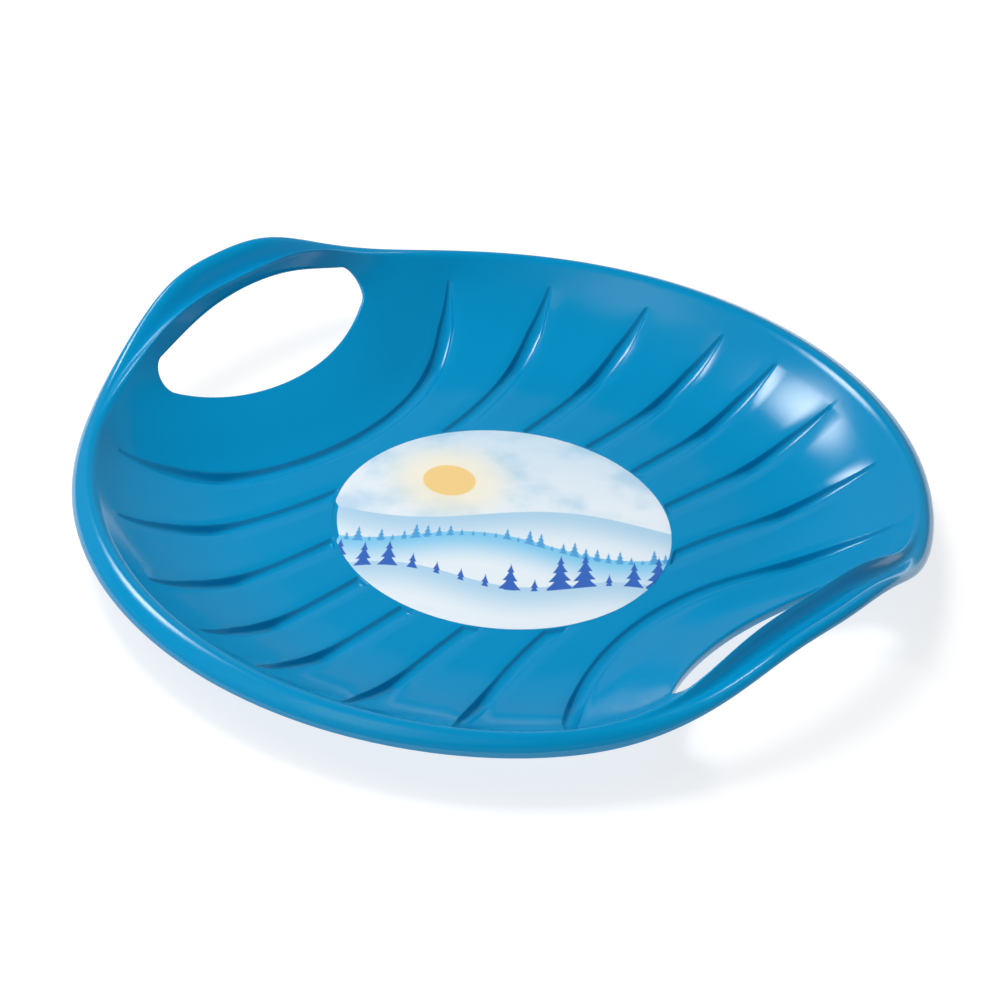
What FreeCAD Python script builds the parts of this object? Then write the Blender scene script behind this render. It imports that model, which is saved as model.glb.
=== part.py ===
"""Saucer sled: one moulded dish with two raised hand-hole handles, eight grooves and a round film label.

Millimetres. +Z is up, X runs through the two handles and Y is the way the sled slides.
The origin is the middle of the sled, on the ground that its runners stand on.
"""
import FreeCAD, Part
import math
import os

import Sketcher
from FreeCAD import Vector

# Driving dimensions
SIZES = {
    "wall": 2.8,
    "rim_radius": 297.5,
    "rim_lip_width": 16.0,
    "rim_roll_width": 4.0,
    "rim_fall": 3.5,
    "rim_drop": 5.5,
    "flat_radius": 162.0,
    "wall_arc_radius": 180.0,
    "handle_inset": 11.5,
    "handle_bar_width": 30.5,
    "handle_height": 83.0,
    "handle_lip_lift": 3.5,
    "handle_gutter": 6.0,
    "scoop_height": 23.0,
    "scoop_run": 42.0,
    "bar_run": 35.0,
    "hole_strip": 4.4,
    "hole_height": 51.6,
    "hole_length": 196.0,
    "hole_corner": 10.0,
    "hole_grip_radius": 545.0,
    "groove_pitch": 39.2,
    "groove_width": 11.0,
    "groove_depth": 2.6,
    "runner_wall": 4.4,
    "groove_heel_run": 35.0,
    "groove_tip_margin": 13.5,
    "groove_tip_depth": 1.9,
    "groove_taper": 34.0,
    "groove_end_gap": 2.0,
    "label_radius": 116.0,
    "label_thickness": 0.3,
    "label_gap": 0.3,
    "notch_depth": 3.0,
    "notch_length": 46.0,
    "notch_slant": 5.0,
    "overrun": 20.0,
}

# Angles in degrees: where a handle's crest and its edge are half as high as in the middle, where the groove tips
# lie and where the label is notched
CREST_HALF_ANGLE = 23.0
EDGE_HALF_ANGLE = 20.0
GROOVE_TIP_BEARINGS = (84.6, 71.0, 54.9, 38.7)
NOTCH_TURN = 45.0

OUTER_GROOVE = len(GROOVE_TIP_BEARINGS) - 1

# Sizes that follow from the driving ones
WORKED = {
    "floor_level": "Sizes.runner_wall + Sizes.groove_depth",
    "lip_radius": "Sizes.rim_radius - Sizes.rim_roll_width",
    "crease_radius": "lip_radius - Sizes.rim_lip_width",
    "edge_reach": "Sizes.rim_radius - Sizes.handle_inset",
    "crest_reach": "edge_reach - Sizes.handle_bar_width",
    "top_level": "floor_level + Sizes.handle_height + Sizes.overrun",
    "tip_radius": "crease_radius - Sizes.groove_tip_margin",
    "heel_radius": "Sizes.flat_radius + Sizes.groove_heel_run",
    "grip_reach": "crest_reach - Sizes.hole_strip",
    "grip_centre": "grip_reach - Sizes.hole_grip_radius",
    "hole_corner_y": "Sizes.hole_length / 2 - Sizes.hole_corner",
    "hole_corner_x": "grip_centre"
                     " + sqrt((Sizes.hole_grip_radius - Sizes.hole_corner) ^ 2 - hole_corner_y ^ 2)",
    "hole_low_reach": "grip_reach - Sizes.hole_height",
    "hole_drop": "hole_corner_x - hole_low_reach",
    "hole_arc_radius": "(hole_drop ^ 2 + hole_corner_y ^ 2 - Sizes.hole_corner ^ 2)"
                       " / (2 * (hole_drop - Sizes.hole_corner))",
    "hole_arc_centre": "hole_low_reach + hole_arc_radius",
}

# Exponents of the handle's curves
CREST_POWER = 4
EDGE_POWER = 3.25
SCOOP_POWER = 1.6
CAP_POWER = 4
PLAN_BLEND_POWER = 24
BAR_POWER = 3

# Points along a radial section, and the bearings of the sections in a quarter turn
WALL_STEPS = 22
WALL_SPACING_POWER = 0.7
LIP_STEPS = 6
ROLL_STEPS = 3
SECTION_BEARINGS = (0, 4, 8, 12, 16, 20, 24, 28, 32, 36, 40, 46, 54, 64, 76, 84, 88, 90)

UP = Vector(0, 0, 1)
ORIGIN = Vector(0, 0, 0)
SEW_TOLERANCE = 1e-5


def make_sheet(document, name, cells):
    """A spreadsheet with one aliased cell for each named size."""
    sheet = document.addObject("Spreadsheet::Sheet", name)
    for row, (alias, content) in enumerate(cells.items(), start=1):
        sheet.set(f"A{row}", alias)
        sheet.set(f"B{row}", content)
        sheet.setAlias(f"B{row}", alias)
    document.recompute()
    return sheet


os.makedirs("parts", exist_ok=True)
doc = FreeCAD.newDocument("saucer_sled")
sizes = make_sheet(doc, "Sizes", {alias: str(value) for alias, value in SIZES.items()})
worked = make_sheet(doc, "Worked", {alias: "=" + formula for alias, formula in WORKED.items()})


def size(alias):
    """A size from either sheet, in millimetres."""
    sheet = sizes if alias in SIZES else worked
    return float(sheet.get(alias))


# Grooves in plan: each follows a circle about a point of the X axis

def polar(radius, bearing):
    """A point of the plan at a radius and a bearing."""
    angle = math.radians(bearing)
    return Vector(radius * math.cos(angle), radius * math.sin(angle), 0)


def groove_circle(number):
    """Centre and radius of the circle that a groove's middle follows; groove 0 is next to the Y axis."""
    apex = (number + 0.5) * size("groove_pitch")
    tip = polar(size("tip_radius"), GROOVE_TIP_BEARINGS[number])
    spread = tip.x - apex
    bend = (spread ** 2 + tip.y ** 2) / (2 * spread)
    return apex + bend, bend


scoop_centre, scoop_radius = groove_circle(OUTER_GROOVE)
scoop_foot = scoop_centre - scoop_radius
ring_start = scoop_foot - size("groove_width") / 2


# The moulding's inner face, as heights above the floor

def off_axis(bearing):
    """The angle between a bearing and the nearer handle's axis, in degrees."""
    turned = abs((bearing + 180) % 360 - 180)
    return min(turned, 180 - turned)


def swell(plain, at_handle, bearing, half_angle=CREST_HALF_ANGLE, power=CREST_POWER):
    """A size that goes from its plain value to its value at the middle of a handle."""
    share = 1 / (1 + (off_axis(bearing) / half_angle) ** power)
    return plain + (at_handle - plain) * share


def dish_rise(radius):
    """Height of the plain dish: flat, then one arc."""
    run = max(radius - size("flat_radius"), 0.0)
    return size("wall_arc_radius") - math.sqrt(size("wall_arc_radius") ** 2 - run ** 2)


def crest_radius(bearing):
    """Plan radius of the crest: the crease circle, cut by the straight inner edge of each handle."""
    crease = size("crease_radius")
    share = crease * math.cos(math.radians(off_axis(bearing))) / size("crest_reach")
    return crease / (1 + share ** PLAN_BLEND_POWER) ** (1 / PLAN_BLEND_POWER)


def crest_rise(bearing):
    """Height of the crest, where the inner face meets the lip."""
    return swell(dish_rise(size("crease_radius")), size("handle_height"), bearing)


def edge_radius(bearing):
    """Plan radius of the outer edge, an ellipse that is shorter through the handles."""
    angle = math.radians(bearing)
    return 1 / math.hypot(math.cos(angle) / size("edge_reach"), math.sin(angle) / size("rim_radius"))


def edge_rise(bearing):
    """Height of the lip's outer end, which climbs the handles more steeply than the crest."""
    plain = dish_rise(size("crease_radius")) - size("rim_fall")
    return swell(plain, size("handle_height") + size("handle_lip_lift"), bearing, EDGE_HALF_ANGLE, EDGE_POWER)


def scoop_rise(radius, bearing):
    """Extra height of the ramp that leads from the outermost groove up to a hand hole."""
    place = polar(radius, off_axis(bearing))
    inside = scoop_radius - place.distanceToPoint(Vector(scoop_centre, 0, 0))
    cap = crest_rise(bearing) - dish_rise(crest_radius(bearing))
    if inside <= 0 or cap <= 0:
        return 0.0
    lift = size("scoop_height") * (1 - math.exp(-(inside / size("scoop_run")) ** SCOOP_POWER))
    return (lift ** -CAP_POWER + cap ** -CAP_POWER) ** (-1 / CAP_POWER)


def wall_rise(radius, bearing):
    """Height of the inner face; close to a handle's bar it turns up steeply to the crest."""
    crest = crest_radius(bearing)
    missing = crest_rise(bearing) - dish_rise(crest) - scoop_rise(crest, bearing)
    nearness = max(1 - (crest - radius) / size("bar_run"), 0.0)
    return dish_rise(radius) + scoop_rise(radius, bearing) + missing * nearness ** BAR_POWER


# Radial sections, as lists of radius and level

def wall_points(bearing):
    """Inner face from the flat floor to the crest, with closer points towards the crest."""
    crest = crest_radius(bearing)
    shares = [(step / WALL_STEPS) ** WALL_SPACING_POWER for step in range(WALL_STEPS + 1)]
    radii = [ring_start + (crest - ring_start) * share for share in shares]
    return [(radius, size("floor_level") + wall_rise(radius, bearing)) for radius in radii]


def lip_points(bearing):
    """Top of the lip, hollowed into a gutter along the handles."""
    inner = crest_radius(bearing)
    outer = edge_radius(bearing) - size("rim_roll_width")
    start, end = crest_rise(bearing), edge_rise(bearing)
    gutter = swell(0.0, size("handle_gutter"), bearing)
    points = []
    for step in range(LIP_STEPS + 1):
        share = step / LIP_STEPS
        climb = (end - start) * (1 - math.cos(math.pi * share)) / 2
        hollow = gutter * math.sin(math.pi * share) ** 2
        points.append((inner + (outer - inner) * share, size("floor_level") + start + climb - hollow))
    return points


def roll_points(bearing):
    """The edge that is turned down outside the lip, a quarter of an ellipse."""
    inner, top = lip_points(bearing)[-1]
    turns = [math.pi / 2 * step / ROLL_STEPS for step in range(ROLL_STEPS + 1)]
    return [(inner + size("rim_roll_width") * math.sin(turn), top - size("rim_drop") * (1 - math.cos(turn)))
            for turn in turns]


def normal(points, place):
    """Unit normal of a section at one of its points, towards the underside."""
    before = points[max(place - 1, 0)]
    after = points[min(place + 1, len(points) - 1)]
    run, rise = after[0] - before[0], after[1] - before[1]
    return rise / math.hypot(run, rise), -run / math.hypot(run, rise)


def mitre(one, two):
    """The offset direction that serves both faces of a corner."""
    together = 1 + one[0] * two[0] + one[1] * two[1]
    return (one[0] + two[0]) / together, (one[1] + two[1]) / together


def underside(points, first, last):
    """A stretch of section one wall further down, with given directions at its ends."""
    inner = [normal(points, place) for place in range(1, len(points) - 1)]
    return [(radius + size("wall") * across, level + size("wall") * down)
            for (radius, level), (across, down) in zip(points, [first] + inner + [last])]


def stretch(points, bearing):
    """A spline edge through section points, stood up at a bearing."""
    places = [polar(radius, bearing) + UP * level for radius, level in points]
    curve = Part.BSplineCurve()
    curve.interpolate(Points=places, Parameters=[float(step) for step in range(len(places))])
    return curve.toShape()


def section(bearing):
    """Closed section of the moulding: inner face, lip, rolled edge, and the underside one wall away."""
    wall, lip, roll = wall_points(bearing), lip_points(bearing), roll_points(bearing)
    down, inward = (0.0, -1.0), (-1.0, 0.0)
    corner = mitre(normal(wall, len(wall) - 1), normal(lip, 0))
    under_wall = underside(wall, down, corner)
    under_lip = underside(lip, corner, down)
    under_roll = underside(roll, down, inward)
    runs = [wall, lip, roll, [roll[-1], under_roll[-1]], under_roll[::-1], under_lip[::-1], under_wall[::-1],
            [under_wall[0], wall[0]]]
    return Part.Wire([stretch(points, bearing) for points in runs])


def dish_shape():
    """The plain moulding: two half rings lofted through radial sections, closed by the flat floor."""
    bearings = [-bearing for bearing in reversed(SECTION_BEARINGS[1:])] + list(SECTION_BEARINGS)
    loft = Part.makeLoft([section(bearing) for bearing in bearings], False, False, False)
    skins = loft.Faces[:-1]
    inner_end = loft.Faces[-1]
    arcs = [edge for edge in inner_end.Edges if edge.BoundBox.ZLength < edge.BoundBox.YLength / 2]
    floors = []
    for arc in arcs:
        ends = [vertex.Point for vertex in arc.Vertexes]
        floors.append(Part.Face(Part.Wire([arc, Part.makeLine(ends[1], ends[0])])))
    half = skins + floors
    other = [face.mirror(ORIGIN, Vector(1, 0, 0)) for face in half]
    shell = Part.makeShell(half + other)
    shell.sewShape(SEW_TOLERANCE)
    return Part.makeSolid(shell)


# Grooves and runners

def crossing(centre, reach, radius):
    """Where a circle about a point of the X axis meets a circle about the origin, on the +Y side."""
    x = (radius ** 2 + centre ** 2 - reach ** 2) / (2 * centre)
    return Vector(x, math.sqrt(radius ** 2 - x ** 2), 0)


def flip_y(point):
    """The same point on the other side of the X axis."""
    return Vector(point.x, -point.y, point.z)


def arc(start, middle, end):
    """Edge of the circle through three points."""
    return Part.Arc(start, middle, end).toShape()


def groove_plan(number, spread):
    """Plan of one groove, wider by spread on each side, with a pointed tip.

    The outermost groove runs unbroken from tip to tip, past the label; the others end square, clear of the label.
    """
    centre, bend = groove_circle(number)
    half_width = size("groove_width") / 2 + spread
    near, far = bend + half_width, bend - half_width
    tip = crossing(centre, bend, size("tip_radius") + spread)
    taper_radius = size("tip_radius") - size("groove_taper")
    near_out, far_out = crossing(centre, near, taper_radius), crossing(centre, far, taper_radius)
    point = [Part.makeLine(near_out, tip), Part.makeLine(tip, far_out)]
    if number == OUTER_GROOVE:
        near_apex, far_apex = Vector(centre - near, 0, 0), Vector(centre - far, 0, 0)
        other_point = [Part.makeLine(flip_y(far_out), flip_y(tip)), Part.makeLine(flip_y(tip), flip_y(near_out))]
        edges = [arc(flip_y(near_out), near_apex, near_out)] + point
        edges += [arc(far_out, far_apex, flip_y(far_out))] + other_point
        return Part.Face(Part.Wire(edges))
    clear_radius = size("label_radius") + size("groove_end_gap")
    start_radius = max(clear_radius, centre - bend + size("groove_width") + size("wall")) - spread
    middle_radius = (start_radius + taper_radius) / 2
    near_in, far_in = crossing(centre, near, start_radius), crossing(centre, far, start_radius)
    edges = [arc(near_in, crossing(centre, near, middle_radius), near_out)] + point
    edges += [arc(far_out, crossing(centre, far, middle_radius), far_in), Part.makeLine(far_in, near_in)]
    return Part.Face(Part.Wire(edges))


def groove_prisms(spread):
    """Upright prisms on all groove plans, tall enough to pass through the whole moulding."""
    prisms = []
    for number in range(len(GROOVE_TIP_BEARINGS)):
        plan = groove_plan(number, spread)
        plan.translate(UP * -size("overrun"))
        ahead = [plan.extrude(UP * (size("top_level") + size("overrun")))]
        if number != OUTER_GROOVE:
            ahead.append(ahead[0].mirror(ORIGIN, Vector(0, 1, 0)))
        prisms += ahead + [prism.mirror(ORIGIN, Vector(1, 0, 0)) for prism in ahead]
    return Part.makeCompound(prisms)


def below_panels():
    """All that lies below the middle of the panels' wall, where the runners take root."""
    half_wall = size("wall") / 2
    middle = size("floor_level") - half_wall
    end = size("tip_radius") + size("wall")
    arc_radius = size("wall_arc_radius") + half_wall
    arc_level = size("floor_level") + size("wall_arc_radius")

    def on_wall(radius):
        return Vector(radius, 0, arc_level - math.sqrt(arc_radius ** 2 - (radius - size("flat_radius")) ** 2))

    start, finish = Vector(size("flat_radius"), 0, middle), on_wall(end)
    low, high = UP * -size("overrun"), UP * middle
    corner = Vector(end, 0, low.z)
    edges = [Part.makeLine(low, high), Part.makeLine(high, start),
             arc(start, on_wall((size("flat_radius") + end) / 2), finish),
             Part.makeLine(finish, corner), Part.makeLine(corner, low)]
    return Part.Face(Part.Wire(edges)).revolve(ORIGIN, UP, 360)


def groove_level(radius):
    """Level of the grooves' floors: flat to the heel, then closer and closer to the wall's face."""
    heel, tip = size("heel_radius"), size("tip_radius")
    heel_depth = size("groove_depth") + dish_rise(heel)
    depth = heel_depth + (size("groove_tip_depth") - heel_depth) * (radius - heel) / (tip - heel)
    return size("floor_level") + dish_rise(radius) - depth


def above_grooves(spread, low):
    """All that lies above the grooves' floors, or spread further down, where the runners end.

    It is flat at the low level and then climbs the wall.
    """
    radii = [size("heel_radius"), (size("heel_radius") + size("tip_radius")) / 2, size("tip_radius")]
    climb = arc(*[Vector(radius, 0, groove_level(radius)) for radius in radii]).Curve
    centre, reach = climb.Center, climb.Radius + spread

    def on_arc(turn):
        return centre + Vector(math.sin(turn), 0, -math.cos(turn)) * reach

    first = math.acos((centre.z - low) / reach)
    last = math.atan2(radii[-1] - centre.x, centre.z - groove_level(radii[-1])) + size("overrun") / reach
    heel, end = on_arc(first), on_arc(last)
    bottom, top = UP * low, UP * size("top_level")
    corner = Vector(end.x, 0, top.z)
    edges = [Part.makeLine(bottom, heel), arc(heel, on_arc((first + last) / 2), end), Part.makeLine(end, corner),
             Part.makeLine(corner, top), Part.makeLine(top, bottom)]
    return Part.Face(Part.Wire(edges)).revolve(ORIGIN, UP, 360)


# Document objects

def add_shape(name, shape):
    """An object whose shape is worked out above."""
    feature = doc.addObject("Part::Feature", name)
    feature.Shape = shape
    return feature


def add_bound(kind, name, bindings, **links):
    """An object whose properties are bound to the sheets."""
    feature = doc.addObject(kind, name)
    for link, value in links.items():
        setattr(feature, link, value)
    for path, formula in bindings.items():
        feature.setExpression(path, formula)
    return feature


def constrain(sketch, kind, places, value=None, formula=None):
    """A sketch constraint, bound to a formula where it has one."""
    parts = places if value is None else places + [value]
    index = sketch.addConstraint(Sketcher.Constraint(kind, *parts))
    if formula:
        sketch.setExpression(f"Constraints[{index}]", formula)


def sketch_arc(sketch, centre, radius, start, end):
    """A counter-clockwise arc of a sketch; angles in radians."""
    circle = Part.Circle(centre, UP, radius)
    return sketch.addGeometry(Part.ArcOfCircle(circle, start, end))


def hole_sketch():
    """Plan of a hand hole: a gently bowed grip edge, an arc towards the floor and two round corners."""
    grip_radius, grip_centre, corner = size("hole_grip_radius"), size("grip_centre"), size("hole_corner")
    inner, centre = size("hole_arc_radius"), size("hole_arc_centre")
    corner_x, corner_y = size("hole_corner_x"), size("hole_corner_y")
    start, turn = math.atan2(corner_y, corner_x - grip_centre), math.atan2(corner_y, corner_x - centre)
    around = 2 * math.pi
    sketch = doc.addObject("Sketcher::SketchObject", "hand_hole_plan")
    grip = sketch_arc(sketch, Vector(grip_centre, 0, 0), grip_radius, -start, start)
    upper = sketch_arc(sketch, Vector(corner_x, corner_y, 0), corner, start, turn)
    inside = sketch_arc(sketch, Vector(centre, 0, 0), inner, turn, around - turn)
    lower = sketch_arc(sketch, Vector(corner_x, -corner_y, 0), corner, around - turn, around - start)
    loop = [grip, upper, inside, lower]
    for one, two in zip(loop, loop[1:] + loop[:1]):
        constrain(sketch, "Tangent", [one, 2, two, 1])
    constrain(sketch, "PointOnObject", [grip, 3, -1])
    constrain(sketch, "PointOnObject", [inside, 3, -1])
    constrain(sketch, "Equal", [upper, lower])
    constrain(sketch, "DistanceX", [grip, 3, -1, 1], -grip_centre, "-Worked.grip_centre")
    constrain(sketch, "Radius", [grip], grip_radius, "Sizes.hole_grip_radius")
    constrain(sketch, "Radius", [upper], corner, "Sizes.hole_corner")
    constrain(sketch, "DistanceX", [-1, 1, inside, 3], centre, "Worked.hole_arc_centre")
    constrain(sketch, "Radius", [inside], inner, "Worked.hole_arc_radius")
    return sketch


def label_body():
    """Printed film disc with a shallow notch in its edge."""
    body = doc.addObject("PartDesign::Body", "label_body")
    body.Label = "centre_label"
    plane = [feature for feature in body.Origin.OriginFeatures if feature.Role == "XY_Plane"][0]
    sketch = body.newObject("Sketcher::SketchObject", "label_plan")
    sketch.AttachmentSupport = [(plane, "")]
    sketch.MapMode = "FlatFace"
    radius, half_notch = size("label_radius"), size("notch_length") / 2
    bottom_x = -(radius - size("notch_depth"))
    bottom_y = half_notch - size("notch_slant")
    turn = math.pi - math.asin(half_notch / radius)
    edge = sketch_arc(sketch, ORIGIN, radius, -turn, turn)
    end = Vector(radius * math.cos(turn), half_notch, 0)
    corners = [end, Vector(bottom_x, bottom_y, 0), Vector(bottom_x, -bottom_y, 0), flip_y(end)]
    sides = [sketch.addGeometry(Part.LineSegment(one, two)) for one, two in zip(corners, corners[1:])]
    loop = [edge] + sides
    for one, two in zip(loop, loop[1:] + loop[:1]):
        constrain(sketch, "Coincident", [one, 2, two, 1])
    bottom = sides[1]
    constrain(sketch, "Coincident", [edge, 3, -1, 1])
    constrain(sketch, "Symmetric", [edge, 1, edge, 2, -1])
    constrain(sketch, "Symmetric", [bottom, 1, bottom, 2, -1])
    constrain(sketch, "Radius", [edge], radius, "Sizes.label_radius")
    constrain(sketch, "DistanceY", [edge, 1, edge, 2], 2 * half_notch, "Sizes.notch_length")
    constrain(sketch, "DistanceY", [bottom, 2, bottom, 1], 2 * bottom_y,
              "Sizes.notch_length - 2 * Sizes.notch_slant")
    constrain(sketch, "DistanceX", [bottom, 1, -1, 1], -bottom_x, "Sizes.label_radius - Sizes.notch_depth")
    pad = body.newObject("PartDesign::Pad", "label_film")
    pad.Profile = sketch
    pad.setExpression("Length", "Sizes.label_thickness")
    body.Placement = FreeCAD.Placement(ORIGIN, FreeCAD.Rotation(UP, NOTCH_TURN))
    body.setExpression("Placement.Base.z", "Worked.floor_level - Sizes.label_thickness")
    return body


def saucer_body():
    """The moulding: the dish with its runners, cut by its grooves, the two hand holes and the label's seat."""
    dish = add_shape("dish", dish_shape())
    under = add_shape("below_panels", below_panels())
    runner_plans = add_shape("runner_prisms", groove_prisms(size("wall")))
    groove_plans = add_shape("groove_prisms", groove_prisms(0.0))
    runner_floor = add_shape("above_runner_floors", above_grooves(size("wall"), 0.0))
    groove_floor = add_shape("above_groove_floors", above_grooves(0.0, size("runner_wall")))
    runner_stock = add_bound("Part::Common", "runner_stock", {}, Base=runner_plans, Tool=runner_floor)
    runners = add_bound("Part::Common", "runners", {}, Base=runner_stock, Tool=under)
    grooves = add_bound("Part::Common", "grooves", {}, Base=groove_plans, Tool=groove_floor)
    hole = add_bound("Part::Extrusion", "hand_hole", {"LengthFwd": "Worked.top_level"},
                     Base=hole_sketch(), DirMode="Normal", Solid=True)
    other_hole = add_bound("Part::Mirroring", "other_hand_hole", {}, Source=hole, Normal=Vector(1, 0, 0))
    seat = add_bound("Part::Cylinder", "label_seat", {
        "Radius": "Sizes.label_radius + Sizes.label_gap",
        "Height": "Sizes.overrun",
        "Placement.Base.z": "Worked.floor_level - Sizes.label_thickness"})
    ribbed = add_bound("Part::MultiFuse", "ribbed_dish", {}, Shapes=[dish, runners])
    cutters = add_bound("Part::Compound", "cutters", {}, Links=[grooves, hole, other_hole, seat])
    saucer = add_bound("Part::Cut", "saucer", {}, Base=ribbed, Tool=cutters)
    saucer.Label = "saucer_shell"
    return saucer


subparts = [saucer_body(), label_body()]
doc.recompute()
for item in doc.Objects:
    if "Invalid" in item.State or "Error" in item.State:
        raise RuntimeError(f"{item.Name} did not compute: {item.State}")
for subpart in subparts:
    shape = subpart.Shape
    if shape.isNull() or not shape.isValid() or len(shape.Solids) != 1:
        raise RuntimeError(f"{subpart.Label} is not one sound solid")
    print(subpart.Label, "volume", round(shape.Volume), "box", shape.optimalBoundingBox())
for subpart in subparts:
    subpart.Shape.exportStep(f"parts/{subpart.Label}.step")
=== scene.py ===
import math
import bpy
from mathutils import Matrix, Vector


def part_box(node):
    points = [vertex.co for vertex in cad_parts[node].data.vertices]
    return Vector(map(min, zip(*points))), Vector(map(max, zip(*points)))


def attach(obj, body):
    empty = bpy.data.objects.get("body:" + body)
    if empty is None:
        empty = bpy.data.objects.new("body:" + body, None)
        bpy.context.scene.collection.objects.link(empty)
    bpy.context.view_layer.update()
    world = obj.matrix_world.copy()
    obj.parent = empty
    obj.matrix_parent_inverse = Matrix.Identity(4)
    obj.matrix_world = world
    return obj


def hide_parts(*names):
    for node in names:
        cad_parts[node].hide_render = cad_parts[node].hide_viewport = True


bl_info = {
    "name": "Saucer sled",
    "version": (1, 0, 0),
    "blender": (4, 5, 0),
    "location": "View3D > Sidebar > Saucer sled",
    "description": "Builds a moulded saucer sled with its film label, on a plain studio floor",
    "category": "Object",
}

import bmesh
import bpy
from mathutils import Matrix, Vector

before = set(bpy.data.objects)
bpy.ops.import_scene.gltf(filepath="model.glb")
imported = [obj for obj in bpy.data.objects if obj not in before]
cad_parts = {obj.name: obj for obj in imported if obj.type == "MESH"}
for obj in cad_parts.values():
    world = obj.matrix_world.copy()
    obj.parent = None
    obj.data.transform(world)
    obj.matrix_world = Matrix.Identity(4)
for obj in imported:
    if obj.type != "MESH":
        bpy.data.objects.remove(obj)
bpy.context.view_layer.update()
SHELL_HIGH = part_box("saucer_shell")[1]
LABEL_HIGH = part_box("centre_label")[1]

# Lengths in the mesh code are in millimetres, and the meshes are in metres
MM = 0.001

# Points closer than these, in metres, are joined: along the quarters' seams, and in a finished mesh
SEAM_GAP = 0.000005
DOUBLE_GAP = 0.000002

# A length that counts as nothing
SPECK = 1e-6

# Angles from the X axis where a handle's crest and its edge are half as high as in the middle, and how
# sharply they fall off there
CREST_HALF_ANGLE = math.radians(23.0)
CREST_POWER = 4.0
EDGE_HALF_ANGLE = math.radians(20.0)
EDGE_POWER = 3.25

# How sharply the round crest turns into the straight run along a handle
CREST_CORNER_POWER = 24

# How softly the wall inside the outer groove starts, how closely it may come to the crest, and how late
# the wall below a handle turns steep
SCOOP_POWER = 1.6
CAP_POWER = 4
BAR_POWER = 3

# Where the four grooves of a quarter end on the wall, from the Y axis to the X axis, and half their width
# there
GROOVE_TIP_BEARINGS = tuple(math.radians(angle) for angle in (84.6, 71.0, 54.9, 38.7))
GROOVE_TIP_HALF = 1.5

# A groove's edge is round from 0.6 mm outside its line to 1.9 mm inside it. In a narrow groove the edges are
# squeezed until half the groove is 1.15 times as wide as one of them.
EDGE_STEPS = (-0.6, -0.4, -0.2, 0.05, 0.4, 0.85, 1.4, 1.9)
EDGE_OUT = EDGE_STEPS[0]
EDGE_IN = EDGE_STEPS[-1]
EDGE_ROOM = 1.15

# Rows of points across a groove's heel and tip, measured from them, and how far the heel is rounded
HEEL_STEPS = (-5.0, -3.0, -1.5, 0.0, 1.5, 3.0, 5.0)
TIP_STEPS = (1.9, 1.2, 0.6, 0.1, -0.3, -0.6)
HEEL_ROUND = 1.2

# The other rows, from the middle outwards: one beside the seat's edge, those between the grooves' inner ends
# and heels, those up to where the grooves narrow, and shares of the narrow part and of the rest
SEAT_ROW = 0.2
FLOOR_ROWS = (7.0, 9.0, 13)
WALL_ROWS = (10.0, 3)
TAPER_SHARES = (0.14, 0.28, 0.42, 0.56, 0.69, 0.8, 0.88)
CREST_SHARES = (0.4, 1.0)

# Distance between a groove's lines where they reach the crest
CREST_LINE_GAP = 1.2

# Lines between two grooves, as shares of the gap. The third of the last panel meets the X axis.
PANEL_SHARES = (
    (0.34, 0.67),
    (0.2, 0.4, 0.6, 0.8),
    (0.2, 0.4, 0.6, 0.8),
    (0.15, 0.3, 0.45, 0.63, 0.8),
)
CORNER_SHARE = 0.45

# Rows of the wall between the outer groove and the hand hole, steps along the crest, and the share of the
# groove's points that face the hand hole's low side and not its corner
SCOOP_ROWS = 14
CREST_STEPS = 46
LOW_ARC_SHARE = 0.72

# Rounding of the crest on the plain rim and along a handle, and the distances from the X axis between which
# it changes
CREST_ROUND = 2.6
GRIP_CREST_ROUND = 0.8
CREST_ROUND_SPAN = (80.0, 125.0)

# The lip: how far from the crest it starts, how far it bulges on the plain rim, and how the hollow along a
# handle leans towards the crest
LIP_START = 3.0
LIP_BULGE = 2.5
GUTTER_LEAN = 0.72

# Rounding of the hand hole's edge and drop of its flange, at the outer side and at the low side
HOLE_PUSH = (0.5, 2.6)
HOLE_FLANGE = (0.5, 5.2)

# Steps round the curves of the rim's section and of the hand hole's section
CREST_BEND_STEPS = 6
LIP_STEPS = 10
ROLL_STEPS = 7
RIM_END_STEPS = 6
ROLL_UNDER_STEPS = 4
LIP_UNDER_STEPS = 6
HOLE_ROUND_STEPS = 7
HOLE_END_STEPS = 5
UNDER_BEND_STEPS = 5

# Rings of the floor under the label, as shares of the seat's radius
SEAT_SHARES = (1.0, 0.998, 0.94, 0.82, 0.68, 0.54, 0.4, 0.26, 0.13)

# The film: steps round it, rings of its two sides as shares of its radius, and its upper edge as shares
# and depths
FILM_STEPS = 360
FILM_LOW_RINGS = (0.5, 1.0)
FILM_EDGE = ((1.0, 0.1), (0.9992, 0.02))
FILM_TOP_RINGS = (0.998, 0.95, 0.85, 0.7, 0.55, 0.4, 0.25, 0.12)

# The shallow notch in the label's edge: its bearing, length and depth, and the length of its slanted ends
NOTCH_BEARING = math.radians(225.0)
NOTCH_LENGTH = 46.0
NOTCH_DEPTH = 3.0
NOTCH_SLANT = 5.0

# Refractive index of polypropylene
POLYPROPYLENE_IOR = 1.49

# Patterns of the moulding, in millimetres: drift of the pigment, grain of the gloss, ripple from shrinkage
# and its depth
DRIFT_SIZE = 90.0
GRAIN_SIZE = 1.6
RIPPLE_SIZE = 7.0
RIPPLE_DEPTH = 0.06

# How much of the colour is left where the pigment is deepest, how strongly the ripple shows, and the part
# of the grain's range that the roughness follows, with the roughness at its ends
DEEP_SHARE = 0.93
RIPPLE_STRENGTH = 0.25
GRAIN_STEP = (0.3, 0.7, 0.12, 0.17)

# The label's printed side is read with its top away from the camera
PRINT_TURN = math.radians(39.3)

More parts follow.
